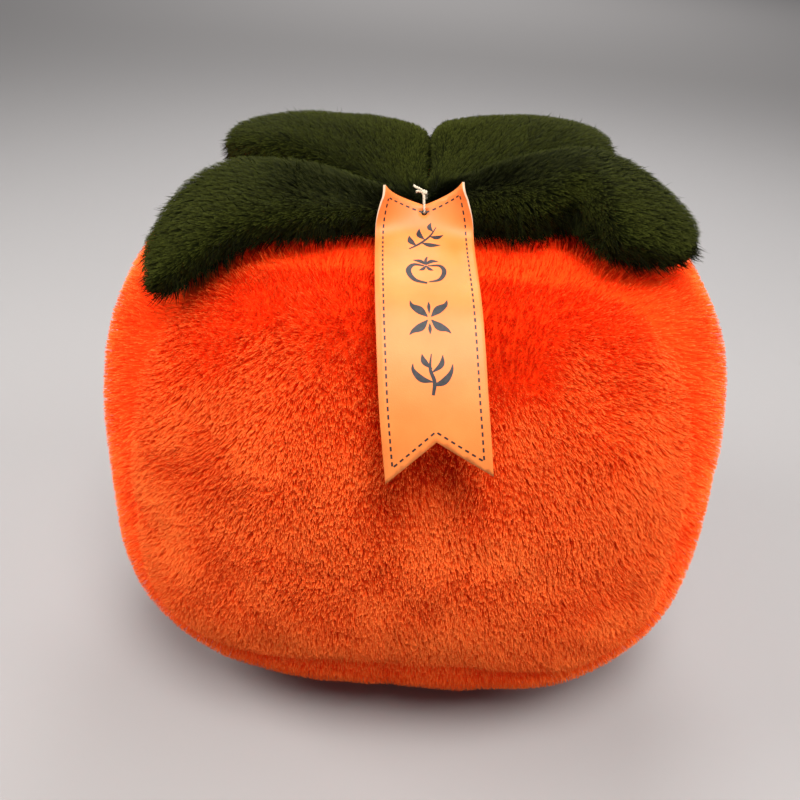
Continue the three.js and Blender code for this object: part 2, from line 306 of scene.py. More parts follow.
# Thread: two twisted plies from the calyx over the notch and through the hole, with a small knot
PLY_RADIUS = 0.42 * MM
PLY_OFF = 0.9 * PLY_RADIUS  # from the thread's middle line
PLY_PITCH = 3.4 * MM
PLY_SIDES = 6
PLY_ASKEW = (0.93, 0.2, 0.31)  # ways that no part of the thread follows
TUBE_ASKEW = (0.31, 0.8, 0.52)
THREAD_CLEAR = 1.75 * MM  # off the tag's middle plane
THREAD_BEND = 1 * MM
THREAD_MIDWAY = 0.55  # between calyx and knot
NOTCH_OUT = 2 * MM
TIE_ALONG = 2.5 * MM
TIE_RADIUS = 0.5625 * MM  # of the knot's rings
CALYX_PLACE = np.array([[0, -1 * MM]])
CALYX_HEIGHT = 16 * MM
ROOT_HEIGHT = 1 * MM
THREAD_STEPS = 420
TAIL_STEPS = 60
KNOT_STEPS = 72
TAILS = (  # from the knot, in millimetres
    ((0, 0, 0), (-2, 0, 2), (-4.5, 1.5, 2.5), (-6, 4, 2.5)),
    ((0, 0, 0), (-1.5, -1, 0.5), (-3.5, -1.5, 1.2), (-4.5, -1, 0.5)),
)

# Noise: sizes of its table and hash, where its cells start, and how far each seed moves them
TABLE_SEED = 7
TABLE_SIZE = 4096
HASH_FACTORS = (73856093, 19349663, 83492791)
HASH_SHIFT = 11
NOISE_START = 37.3
NOISE_STEP = 11.1
TUFT_START = 17.7
TUFT_STEP = 5.3
VALUE_CELLS = 101  # from a tuft's place to its values
TUFT_SEED, SWAY_SEED, LEAF_LUMP_SEED, PATCH_SEED, DRIFT_SEED = 1, 2, 3, 5, 9
COVER_SEED, LEAF_SEED, FRINGE_SEED = 11, 21, 31

# Looks
PLUSH_ROUGHNESS = 0.9
PLUSH_SPECULAR = 0.06
SHEEN_ROUGHNESS = 0.5
MIX_INPUTS = (6, 7)  # colour sockets of a mix node
MIX_OUTPUT = 2
PATCH_DETAIL = 5
GRAIN_DETAIL = 3
BUMP_STRENGTH = 0.7

# Stage: each light's place, aim, size, power and colour
LIGHTS = {
    "key": ((0.2, -0.9, 2.25), (0, 0, 0.2), 1.1, 66, (1, 0.97, 0.94)),
    "left": ((-1.4, -0.2, 1.3), (0, 0, 0.2), 0.9, 26, (1, 0.98, 0.95)),
    "right": ((1.4, -0.3, 1.4), (0, 0, 0.2), 0.9, 17, (1, 0.98, 0.95)),
    "rim": ((0.2, 1.3, 1.5), (0, 0, 0.35), 1, 20, (0.97, 0.98, 1)),
    "backdrop": ((0, 4.5, 2.5), (0, 4.5, 0), 3, 80, (1, 0.98, 0.97)),
}
FLOOR_HALF = 6
FLOOR_COLOUR = (0.3, 0.29, 0.288)
FLOOR_ROUGHNESS = 0.9
FLOOR_SPECULAR = 0.2
WORLD_COLOUR = (0.93, 0.95, 1)
WORLD_STRENGTH = 0.17

# Camera, at the photograph's viewing angle
CAMERA_TARGET = Vector((-0.010, 0, 0.210))
CAMERA_DISTANCE = 0.647
CAMERA_ELEVATION = math.radians(33)
CAMERA_AZIMUTH = math.radians(1.06)
CAMERA_ROLL = math.radians(3.3)
CAMERA_LENS = 36.9
CAMERA_SENSOR = 36
CAMERA_NEAR = 10 * MM


def signed_power(value, power):
    return np.sign(value) * np.abs(value) ** power


def smoothstep(value):
    t = np.clip(value, 0, 1)
    return t * t * (3 - 2 * t)


# Smooth rise from 0 to 1 over a span
def rise(value, span):
    return smoothstep((value - span[0]) / (span[1] - span[0]))


def lerp(a, b, t):
    return a + (b - a) * t


def unit(vectors):
    return vectors / np.maximum(np.linalg.norm(vectors, axis=-1, keepdims=True), TINIEST)


def norms(vectors):
    return np.linalg.norm(vectors, axis=1)


def dot(a, b):
    return (a * b).sum(-1, keepdims=True)


# Outward normals of the unsettled body
def body_normals(points):
    x = points[:, 0] / HALF_WIDTH
    y = points[:, 1] / HALF_DEPTH
    z = points[:, 2] / HALF_HEIGHT
    ring = (np.abs(x) ** OUTLINE_POWER + np.abs(z) ** OUTLINE_POWER) ** (1 / OUTLINE_POWER)
    share = np.maximum(ring, NEAR_ZERO) ** (DEPTH_POWER - OUTLINE_POWER)
    return unit(np.stack([
        share * signed_power(x, OUTLINE_POWER - 1) / HALF_WIDTH,
        signed_power(y, DEPTH_POWER - 1) / HALF_DEPTH,
        share * signed_power(z, OUTLINE_POWER - 1) / HALF_HEIGHT,
    ], 1))


# Narrow the top, sink its middle, press the underside flat and stand the body on z = 0
def settle(points):
    x = points[:, 0] * (1 + TAPER * points[:, 2] / HALF_HEIGHT)
    y = points[:, 1]
    sunk = DIP_DEPTH * np.exp(-(x ** 2 + y ** 2) / (2 * DIP_SPREAD ** 2))
    z = points[:, 2] - sunk * smoothstep(points[:, 2] / HALF_HEIGHT)
    return np.stack([x, y, np.maximum(z + HALF_HEIGHT - BASE_PRESS, 0)], 1)


# Points of the body's surface: turn goes round the front outline, lean from front to back pole
def body_points(turn, lean, offset):
    ring = np.sin(lean) ** (2 / DEPTH_POWER)
    outline = (np.abs(np.cos(turn) / HALF_WIDTH) ** OUTLINE_POWER
               + np.abs(np.sin(turn) / HALF_HEIGHT) ** OUTLINE_POWER) ** (-1 / OUTLINE_POWER)
    points = np.stack([
        ring * outline * np.cos(turn),
        -HALF_DEPTH * signed_power(np.cos(lean), 2 / DEPTH_POWER),
        ring * outline * np.sin(turn),
    ], 1)
    return settle(points + body_normals(points) * np.reshape(offset, (-1, 1)))


# Points over the top, from places on the spread-out pattern and heights over the surface
def top_points(flat, height):
    across, along = flat.T
    arc = np.hypot(across, along) / FLAT_SCALE
    bearing = np.arctan2(along, across)
    ray = np.stack([np.sin(arc) * np.cos(bearing), np.sin(arc) * np.sin(bearing), np.cos(arc)], 1)
    outline = (np.abs(ray[:, 0] / HALF_WIDTH) ** OUTLINE_POWER
               + np.abs(ray[:, 2] / HALF_HEIGHT) ** OUTLINE_POWER)
    level = outline ** (DEPTH_POWER / OUTLINE_POWER) + np.abs(ray[:, 1] / HALF_DEPTH) ** DEPTH_POWER
    points = ray * level[:, None] ** (-1 / DEPTH_POWER)
    return settle(points + body_normals(points) * np.reshape(height, (-1, 1)))


# Angle from the front pole to the front panel's seam
def seam_lean(turn):
    low = rise(-np.sin(turn), SEAM_LOW)
    high = rise(np.sin(turn), SEAM_HIGH)
    depth = SEAM_SIDE + (SEAM_BOTTOM - SEAM_SIDE) * low + (SEAM_TOP - SEAM_SIDE) * high
    return np.arccos(depth ** (DEPTH_POWER / 2))


# Noise in space: random values on a grid, looked up by a hash of the cell
TABLE = np.random.default_rng(TABLE_SEED).random((TABLE_SIZE, 4))


def cell_values(cells):
    x, y, z = (cells[..., axis] * HASH_FACTORS[axis] for axis in range(3))
    mixed = x ^ y ^ z
    return TABLE[(mixed ^ mixed >> HASH_SHIFT) & (TABLE_SIZE - 1)]


# Four smooth values from -1 to 1 at each point
def smooth_values(points, size, seed=0):
    place = points / size + NOISE_START + NOISE_STEP * seed
    cell = np.floor(place).astype(np.int64)
    t = smoothstep(place - cell)
    total = 0
    for corner in np.ndindex(2, 2, 2):
        share = np.prod(np.where(corner, t, 1 - t), axis=-1)
        total = total + share[:, None] * cell_values(cell + np.array(corner))
    return total * 2 - 1


def smooth_noise(points, size, seed=0):
    return smooth_values(points, size, seed)[:, 3]


# Nearest tuft centre of each point, with three random numbers for the tuft
def tufts(points, size, seed=0):
    place = points / size + TUFT_START + TUFT_STEP * seed
    cell = np.floor(place).astype(np.int64)
    best = np.full(len(points), np.inf)
    centre = np.zeros_like(points)
    values = np.zeros_like(points)
    for step in np.ndindex(3, 3, 3):
        near = cell + np.array(step) - 1
        at = near + cell_values(near)[:, :3]
        far = ((at - place) ** 2).sum(1)
        closer = far < best
        best[closer] = far[closer]
        centre[closer] = at[closer]
        values[closer] = cell_values(near + VALUE_CELLS)[closer, :3]
    return (centre - TUFT_START - TUFT_STEP * seed) * size, values


def make_object(name, points, loops, sizes, corner_uv=None, smooth=True):
    mesh = bpy.data.meshes.new(name)
    mesh.vertices.add(len(points))
    mesh.vertices.foreach_set("co", np.asarray(points, np.float32).ravel())
    mesh.loops.add(len(loops))
    mesh.loops.foreach_set("vertex_index", np.asarray(loops, np.int32))
    starts = np.concatenate([[0], np.cumsum(sizes)[:-1]])
    mesh.polygons.add(len(sizes))
    mesh.polygons.foreach_set("loop_start", starts.astype(np.int32))
    mesh.polygons.foreach_set("use_smooth", np.broadcast_to(smooth, len(sizes)))
    if corner_uv is not None:
        layer = mesh.uv_layers.new(name=MAP)
        layer.uv.foreach_set("vector", np.asarray(corner_uv, np.float32).ravel())
    mesh.update(calc_edges=True)
    thing = bpy.data.objects.new(name, mesh)
    SCENE.collection.objects.link(thing)
    return thing


def quads_object(name, points, quads, smooth=True):
    return make_object(name, points, quads.ravel(), np.full(len(quads), 4), smooth=smooth)


# A square grid bent into a unit disc: turn and reach of its points, its quads, its rim in turn order
def disc_grid(cells):
    line = np.linspace(-1, 1, cells + 1)
    a, b = (side.ravel() for side in np.meshgrid(line, line, indexing="ij"))
    wide = np.abs(a) >= np.abs(b)
    long_side = np.where(wide, a, b)
    ratio = np.where(wide, b, -a) / np.where(long_side == 0, 1, long_side)
    start = np.where(wide, 0, math.pi / 2) + np.where(long_side < 0, math.pi, 0)
    turn = (start + math.pi / 4 * ratio) % math.tau
    reach = np.abs(long_side)
    index = np.arange((cells + 1) ** 2).reshape(cells + 1, cells + 1)
    quads = np.stack([index[:-1, :-1], index[1:, :-1], index[1:, 1:], index[:-1, 1:]], -1)
    rim = np.flatnonzero(reach > 1 - NEAR_ZERO)
    rim = rim[np.argsort(np.round(turn[rim] / math.tau * 4 * cells) % (4 * cells))]
    return turn, reach, quads.reshape(-1, 4), rim


def vertex_normals(points, quads):
    across = points[quads[:, 2]] - points[quads[:, 0]]
    along = points[quads[:, 3]] - points[quads[:, 1]]
    faces = np.cross(across, along)
    total = np.zeros_like(points)
    for corner in range(4):
        np.add.at(total, quads[:, corner], faces)
    return unit(total)


# Let a closed skin swell as cloth over its filling, with the held points still
def swell(points, quads, held):
    skin = quads_object("swelling_skin", points, quads)
    group = skin.vertex_groups.new(name="held")
    group.add([int(i) for i in np.flatnonzero(held)], 1.0, "REPLACE")
    modifier = skin.modifiers.new("cloth", "CLOTH")
    cloth = modifier.settings
    cloth.quality = SWELL_QUALITY
    cloth.use_pressure = True
    cloth.uniform_pressure_force = SWELL_PRESSURE
    cloth.vertex_group_mass = "held"
    cloth.effector_weights.gravity = 0
    modifier.point_cache.frame_start = 1
    modifier.point_cache.frame_end = SWELL_FRAMES
    for at in range(1, SWELL_FRAMES + 1):
        SCENE.frame_set(at)
    shown = skin.evaluated_get(bpy.context.evaluated_depsgraph_get())
    swollen = np.zeros(len(points) * 3, np.float32)
    shown.data.vertices.foreach_get("co", swollen)
    moved = swollen.reshape(-1, 3) - points
    length = np.linalg.norm(moved, axis=1, keepdims=True)
    bpy.data.objects.remove(skin)
    SCENE.frame_set(1)
    return points + moved * np.minimum(1, SWELL_CAP / np.maximum(length, NEAR_ZERO))


# The whole cover as one skin: front panel, band and back panel share their seam points
def cover_skin():
    turn, reach, quads, rim = disc_grid(PANEL_CELLS)
    edge = seam_lean(turn)
    ring = np.sin(edge) ** (2 / DEPTH_POWER)
    lean = np.arcsin((reach * ring) ** (DEPTH_POWER / 2))
    rim_turn = turn[rim]
    depth = np.cos(seam_lean(rim_turn)) ** (2 / DEPTH_POWER)
    shares = np.linspace(-1, 1, BAND_ROWS + 1)[1:-1]
    band_lean = np.arccos(signed_power(-shares[:, None] * depth, DEPTH_POWER / 2)).ravel()
    band_turn = np.tile(rim_turn, len(shares))
    turns = np.concatenate([turn, band_turn, turn])
    leans = np.concatenate([lean, band_lean, math.pi - lean])
    count = len(turn)
    back_start = count + len(band_turn)
    around = np.arange(len(rim))
    rows = [rim, *(count + k * len(rim) + around for k in range(len(shares))), back_start + rim]
    band = np.concatenate([
        np.stack([upper, lower, np.roll(lower, -1), np.roll(upper, -1)], 1)
        for upper, lower in zip(rows[:-1], rows[1:])
    ])
    faces = np.concatenate([quads, band, (quads + back_start)[:, ::-1]])
    panel = np.repeat([0, 1, 2], [len(quads), len(band), len(quads)])
    points = body_points(turns, leans, skin_offset(turns, leans))
    plain = vertex_normals(body_points(turns, leans, np.full(len(turns), -PILE_ROOM)), faces)
    away = seam_distance(turns, leans)
    held = (away < SEAM_HELD) | (points[:, 2] < FLOOR_HELD)
    points = swell(points, faces, held)
    points[:, 2] = np.maximum(points[:, 2], FLOOR_CLEAR)
    return points, unit(lerp(plain, vertex_normals(points, faces), SEAM_PARTING)), faces, panel


def seam_distance(turn, lean):
    edge = np.where(lean < math.pi / 2, seam_lean(turn), math.pi - seam_lean(turn))
    zero = np.zeros(len(turn))
    return norms(body_points(turn, lean, zero) - body_points(turn, edge, zero))


# Depth of the skin: under the pile, pulled in along the seams and at the gather below, slightly lumpy
def skin_offset(turn, lean):
    seam = SEAM_PULL * np.exp(-(seam_distance(turn, lean) / SEAM_PULL_WIDTH) ** 2)
    sideways = (turn - PUCKER_TURN + math.pi) % math.tau - math.pi
    low = np.exp(-((lean - PUCKER_LEAN[0]) / PUCKER_LEAN[1]) ** 2)
    pucker = PUCKER_PULL * low * np.exp(-(sideways / PUCKER_TURN_WIDTH) ** 2)
    lumps = LUMP_HEIGHT * smooth_noise(body_points(turn, lean, np.zeros(len(turn))), LUMP_SIZE)
    return np.maximum(lumps - PILE_ROOM - seam - pucker, -DEEPEST)


# Cubic through p1 and p2 with the slopes of a centripetal curve, at t from p1 to p2
def between(p0, p1, p2, p3, t):
    d0, d1, d2 = (np.maximum(np.linalg.norm(b - a, axis=-1, keepdims=True), NEAR_ZERO) ** 0.5
                  for a, b in ((p0, p1), (p1, p2), (p2, p3)))
    v1 = ((p1 - p0) / d0 - (p2 - p0) / (d0 + d1) + (p2 - p1) / d1) * d1
    v2 = ((p2 - p1) / d1 - (p3 - p1) / (d1 + d2) + (p3 - p2) / d2) * d1
    return p1 + v1 * t + (3 * (p2 - p1) - 2 * v1 - v2) * t ** 2 + (2 * (p1 - p2) + v1 + v2) * t ** 3


# Closed curve through an outline's points, at shares of its points
def closed_curve(points, share):
    at = share % 1 * len(points)
    start = np.floor(at).astype(int)
    near = [points[(start + k) % len(points)] for k in (-1, 0, 1, 2)]
    return between(*near, (at - start)[:, None])


# Open curve through points, with even steps along it
def open_curve(points, count):
    points = np.asarray(points, float)
    padded = np.concatenate([[2 * points[0] - points[1]], points, [2 * points[-1] - points[-2]]])
    at = np.linspace(0, len(points) - 1, CURVE_STEPS * len(points))
    start = np.minimum(np.floor(at).astype(int), len(points) - 2)
    line = between(*(padded[start + k] for k in range(4)), (at - start)[:, None])
    run = np.concatenate([[0], np.cumsum(norms(np.diff(line[:, :3], axis=0)))])
    even = np.linspace(0, run[-1], count)
    return np.stack([np.interp(even, run, line[:, k]) for k in range(line.shape[1])], 1), run[-1]


def leaf_outline(leaf, share, inset):
    middle = np.array(leaf["middle"]) * MM
    rim = closed_curve(np.array(leaf["outline"], float) * MM, share)
    inner = 1 - smoothstep(np.abs(rim).min(1) / INNER_ZONE)
    room = inset * lerp(OUTER_INSET, INNER_INSET, inner)[:, None]
    return middle + (rim - middle) * (1 - room / np.linalg.norm(rim - middle, axis=1, keepdims=True))


def leaf_heights(leaf, flat, spread):
    outward = norms(flat) / LEAF_REACH
    under = LEAF_GAP + leaf["lift"] * rise(outward, LIFT_SPAN)
    full = leaf["thick"] * lerp(leaf["root"], 1, rise(outward, ROOT_SPAN))
    full *= lerp(1, leaf["tip"], rise(outward, TIP_SPAN))
    crown = (1 - spread ** leaf["edge"]) ** (1 / leaf["edge"])
    return under, under + LEAF_RIM + (full - LEAF_RIM) * crown


# One leaf's pad: upper and lower skins that share their rim
def leaf_skin(leaf):
    turn, reach, quads, rim = disc_grid(LEAF_CELLS)
    reach = 1 - (1 - reach) ** RIM_CROWDING
    middle = np.array(leaf["middle"]) * MM
    flat = lerp(middle, leaf_outline(leaf, turn / math.tau, 1), reach[:, None])
    under, over = leaf_heights(leaf, flat, reach)
    lumps = LUMP_HEIGHT * smooth_noise(top_points(flat, over), LEAF_LUMP_SIZE, LEAF_LUMP_SEED)
    room = LEAF_PILE_ROOM * (1 - reach ** LEAF_ROOM_EDGE)
    upper = top_points(flat, np.maximum(over - room + lumps, under + LEAF_RIM))
    lower = top_points(flat, under + LEAF_UNDER_ROOM)
    upper[rim] = lerp(upper[rim], lower[rim], 0.5)
    own = np.flatnonzero(reach < 1 - NEAR_ZERO)
    lower_index = np.zeros(len(turn), int)
    lower_index[rim] = rim
    lower_index[own] = len(turn) + np.arange(len(own))
    points = np.concatenate([upper, lower[own]])
    faces = np.concatenate([quads, lower_index[quads][:, ::-1]])
    if vertex_normals(points, faces)[len(turn) // 2, 2] < 0:
        faces = faces[:, ::-1]
    held = np.zeros(len(points), bool)
    held[rim] = True
    held[:len(turn)] |= norms(flat) < LEAF_HELD
    held[len(turn):] = True
    points = swell(points, faces, held)
    return points, faces, np.repeat([True, False], len(quads))


# Strand roots spread evenly over quads, more where weight is more
def scatter(points, normals, quads, weight, count, rng):
    triangles = np.concatenate([quads[:, [0, 1, 2]], quads[:, [0, 2, 3]]])
    corners = points[triangles]
    area = norms(np.cross(corners[:, 1] - corners[:, 0], corners[:, 2] - corners[:, 0]))
    share = np.cumsum(area * np.tile(weight, 2))
    pick = np.searchsorted(share, (np.arange(count) + rng.random(count)) / count * share[-1])
    pick = np.minimum(pick, len(triangles) - 1)
    u, v = rng.random((2, count, 1))
    folded = u + v > 1
    u, v = np.where(folded, 1 - u, u), np.where(folded, 1 - v, v)
    a, b, c = (corners[pick, k] for k in range(3))
    na, nb, nc = (normals[triangles[pick, k]] for k in range(3))
    return a + u * (b - a) + v * (c - a), unit(na + u * (nb - na) + v * (nc - na))


def random_vectors(rng, count):
    return unit(rng.normal(size=(count, 3)))


# Strands of one style: root and tip, half width, tint with painted shade, the bend of their middle
# where they droop, and whether a strand is wide at its tip in place of its root
def grow(skin, quads, normals, weight, count, style, comb_of, droop, seed):
    rng = np.random.default_rng(seed)
    roots, up = scatter(skin, normals, quads, weight, count, rng)
    comb = comb_of(roots)
    comb = unit(comb - dot(comb, up) * up)
    centre, values = tufts(roots, style["tuft_size"], TUFT_SEED)
    sway = smooth_values(roots, style["sway_size"], SWAY_SEED)[:, :3]
    way = up + style["lean"] * comb + style["sway"] * sway + style["fuss"] * (values * 2 - 1)
    way = unit(way + style["stray"] * random_vectors(rng, count) * rng.random((count, 1)))
    lengths = style["length"] * (LONGEST - style["uneven"] * rng.random((count, 1)))
    lengths *= 1 + LENGTH_DRIFT * smooth_noise(roots, LENGTH_DRIFT_SIZE, DRIFT_SEED)[:, None]
    lengths *= 1 + style["shag"] * rise(up[:, 2:], SHAG_SPAN)
    centre = centre - dot(centre - roots, up) * up
    tips = lerp(roots, centre, style["gather"]) + way * lengths
    wide = smooth_noise(roots, PATCH_SIZE, PATCH_SEED)
    # Tint varies at random by tuft, patch and strand; painted shade darkens it where the skin faces
    # down
    tint = 0.5 + TUFT_TINT * (values[:, 0] * 2 - 1) + PATCH_TINT * wide
    tint += STRAND_TINT * (rng.random(count) - 0.5) - style["painted_shade"] * rise(up[:, 2], PAINTED_SHADE_SPAN)
    half = style["width"] * lerp(*WIDTH_RANGE, rng.random((count, 1)))
    side = unit(np.cross(way, random_vectors(rng, count) + style["turned"] * up)) * half
    bend = up * lengths * droop if droop else None
    blunt = rng.random((count, 1)) < style["blunt"]
    return roots, tips, side, np.clip(tint, *TINT_RANGE), bend, blunt


# Corners of a strand group: points, faces' loops from a first index, face sizes and the map
def strand_faces(group, first):
    roots, tips, side, tint, bend, blunt = group
    count = len(roots)
    left = np.stack([tint - MAP_STEP, np.zeros(count)], 1)
    right = np.stack([tint + MAP_STEP, np.zeros(count)], 1)
    top = np.stack([tint, np.ones(count)], 1)
    if bend is None:
        wide = side * BLUNT_WIDTH
        verts = np.stack([
            np.where(blunt, tips - wide, roots - side), np.where(blunt, tips + wide, roots + side),
            np.where(blunt, roots, tips),
        ], 1)
        high = np.array([0, 1]) * blunt
        uv = np.stack([left + high, right + high, top - high], 1).reshape(-1, 2)
        return verts.reshape(-1, 3), first + np.arange(3 * count), np.full(count, 3), uv
    middle = lerp(roots, tips, 0.5) + bend
    high = side * BLADE_NARROWING
    verts = np.stack([roots - side, roots + side, middle + high, middle - high, tips], 1)
    base = first + np.arange(count)[:, None] * 5
    loops = np.concatenate([base + [0, 1, 2, 3], base + [3, 2, 4]], 1).ravel()
    up = np.array([0, 0.5])
    uv = np.stack([left, right, right + up, left + up, left + up, right + up, top], 1).reshape(-1, 2)
    return verts.reshape(-1, 3), loops, np.tile([4, 3], count), uv


# A piece of plush: its skin's faces and its strands in one mesh. On the map, across is the strand's
# tint, lowered by painted shade where the skin faces down, and up is the way along it, so a colour is
# the same wherever the map overlaps.
def plush_object(name, skin, quads, groups, seed):
    across, low = (middle + spread * smooth_noise(skin, size, seed + k)
                   for k, (middle, spread, size) in enumerate(SKIN_ON_MAP))
    points, loops, sizes = [skin], [quads.ravel()], [np.full(len(quads), 4)]
    uvs = [np.stack([across, low], 1)[quads.ravel()]]
    first = len(skin)
    for group in groups:
        verts, own_loops, own_sizes, uv = strand_faces(group, first)
        points.append(verts)
        loops.append(own_loops)
        sizes.append(own_sizes)
        uvs.append(uv)
        first += len(verts)
    points = np.concatenate(points)
    points[:, 2] = np.maximum(points[:, 2], PILE_CLEAR)
    return make_object(
        name, points, np.concatenate(loops), np.concatenate(sizes), np.concatenate(uvs))


def inside(polygon, points):
    x, y = points.T
    found = np.zeros(len(points), bool)
    for (x1, y1), (x2, y2) in zip(polygon, np.roll(polygon, -1, axis=0)):
        crosses = (y1 > y) != (y2 > y)
        level = x1 + (y - y1) * (x2 - x1) / (y2 - y1 if y2 != y1 else TINIEST)
        found ^= crosses & (x < level)
    return found


# Whether a point of the cover is well under a leaf, where no pile shows
def under_leaves(points):
    ray = unit(points - np.array([0, 0, HALF_HEIGHT - BASE_PRESS - 0.5 * DIP_DEPTH]))
    arc = np.arccos(np.clip(ray[:, 2], -1, 1)) * FLAT_SCALE
    flat = arc[:, None] * unit(ray[:, :2])
    hidden = (np.abs(flat).min(1) < TUCKED_ARM) & (arc < TUCKED_REACH) & (ray[:, 2] > 0)
    hidden &= flat[:, 1] > TUCKED_FRONT
    for leaf in LEAVES:
        outline = leaf_outline(leaf, np.linspace(0, 1, OUTLINE_STEPS, endpoint=False), TUCKED_INSET)
        hidden |= inside(outline, flat)
    return hidden


# Ways in which the pile is combed: down the body, and out along the leaves and a little down
def downwards(points):
    return np.tile([0.0, 0.0, -1.0], (len(points), 1))


def sideways(points):
    return unit(points * LEAF_COMB) + LEAF_COMB_FALL


def attach(piece, materials, slot, *nodes):
    for material in materials:
        piece.data.materials.append(material)
    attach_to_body(piece, "root")
    if nodes:
        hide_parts(*nodes)


def make_cover():
    points, normals, faces, panel = cover_skin()
    for number, (node, count) in enumerate(STRAND_COUNTS.items()):
        used, local = np.unique(faces[panel == number], return_inverse=True)
        quads = local.reshape(-1, 4)
        skin = points[used]
        middles = skin[quads].mean(1)
        weight = np.where(under_leaves(middles), TUCKED_SHARE, 1)
        weight *= np.where(middles[:, 2] < FLOOR_ZONE, FLOOR_SHARE, 1)
        seed = COVER_SEED + number
        strands = grow(skin, quads, normals[used], weight, count, BODY_PILE, downwards, 0, seed)
        piece = plush_object(node + "_plush", skin, quads, [strands], seed)
        attach(piece, [ORANGE], "plush_orange", node)


def make_leaves():
    for number, leaf in enumerate(LEAVES):
        skin, faces, is_upper = leaf_skin(leaf)
        normals = vertex_normals(skin, faces)
        weight = np.where(is_upper, 1, UNDER_SHARE)
        steep = np.where(is_upper, *FRINGE_SHARES) + rise(normals[faces].mean(1)[:, 2], FRINGE_SPAN)
        seed = LEAF_SEED + number
        short = grow(skin, faces, normals, weight, LEAF_STRANDS, LEAF_PILE, sideways, 0, seed)
        fringe = grow(skin, faces, normals, steep, FRINGE_STRANDS, FRINGE_PILE, sideways,
                      FRINGE_DROOP, FRINGE_SEED + number)
        piece = plush_object(leaf["name"] + "_plush", skin, faces, [short, fringe], seed)
        attach(piece, [GREEN], "plush_green", leaf["name"])


# The tag's middle line: points and tangents at distances along it, and its length
def tag_frames(along):
    stand = np.array([0, 0, HALF_HEIGHT - BASE_PRESS])
    line, length = open_curve(np.array(TAG_LINE) * MM + stand, TAG_STEPS)
    at = np.clip(along / length, 0, 1) * (len(line) - 1)
    slopes = unit(np.gradient(line, axis=0))
    point, tangent = (
        np.stack([np.interp(at, np.arange(len(line)), rows[:, k]) for k in range(3)], 1)
        for rows in (line, slopes)
    )
    return point, tangent, length


# Points of the tag's ribbon: across runs -1 to 1, along from the horns, off from its middle plane
def tag_points(across, along, off):
    across, along, off = np.broadcast_arrays(*(np.asarray(x, float) for x in (across, along, off)))
    point, tangent, _ = tag_frames(along)
    normal = unit(np.cross(tangent, [1, 0, 0]))
    width = unit(np.cross(normal, tangent))
    curl = np.maximum(TAG_CURL * (1 - smoothstep(along / TAG_CURL_LENGTH)), LEAST_CURL)
    angle = curl * across
    radius = TAG_WIDTH / 2 / curl
    sideways = radius * np.sin(angle) - off * np.sin(angle)
    forward = radius * (1 - np.cos(angle)) + off * np.cos(angle)
    return point + width * sideways[:, None] + normal * forward[:, None]


TAG_LENGTH = tag_frames(np.zeros(1))[2]
HOLE_ALONG = TAG_TOP_NOTCH + TAG_HOLE_BELOW_NOTCH


def cross(a, b):
    return a[:, 0] * b[:, 1] - a[:, 1] * b[:, 0]


# Outline of the flat tag, drawn in from its cut edge by an inset
def tag_outline(inset):
    half = TAG_WIDTH / 2
    corners = np.array([
        (-half, 0), (-half, TAG_LENGTH), (0, TAG_LENGTH - TAG_BOTTOM_NOTCH), (half, TAG_LENGTH),
        (half, 0), (0, TAG_TOP_NOTCH),
    ])
    way = unit(np.roll(corners, -1, axis=0) - corners)
    inward = np.stack([way[:, 1], -way[:, 0]], 1)
    start = corners + inward * inset
    last, last_way = np.roll(start, 1, axis=0), np.roll(way, 1, axis=0)
    reach = cross(start - last, way) / cross(last_way, way)
    return last + last_way * reach[:, None]


def walk(corners, step):
    rows = []
    for start, end in zip(corners, np.roll(corners, -1, axis=0)):
        count = max(1, round(np.linalg.norm(end - start) / step))
        rows.append(lerp(start, end, np.arange(count)[:, None] / count))
    return np.concatenate(rows)


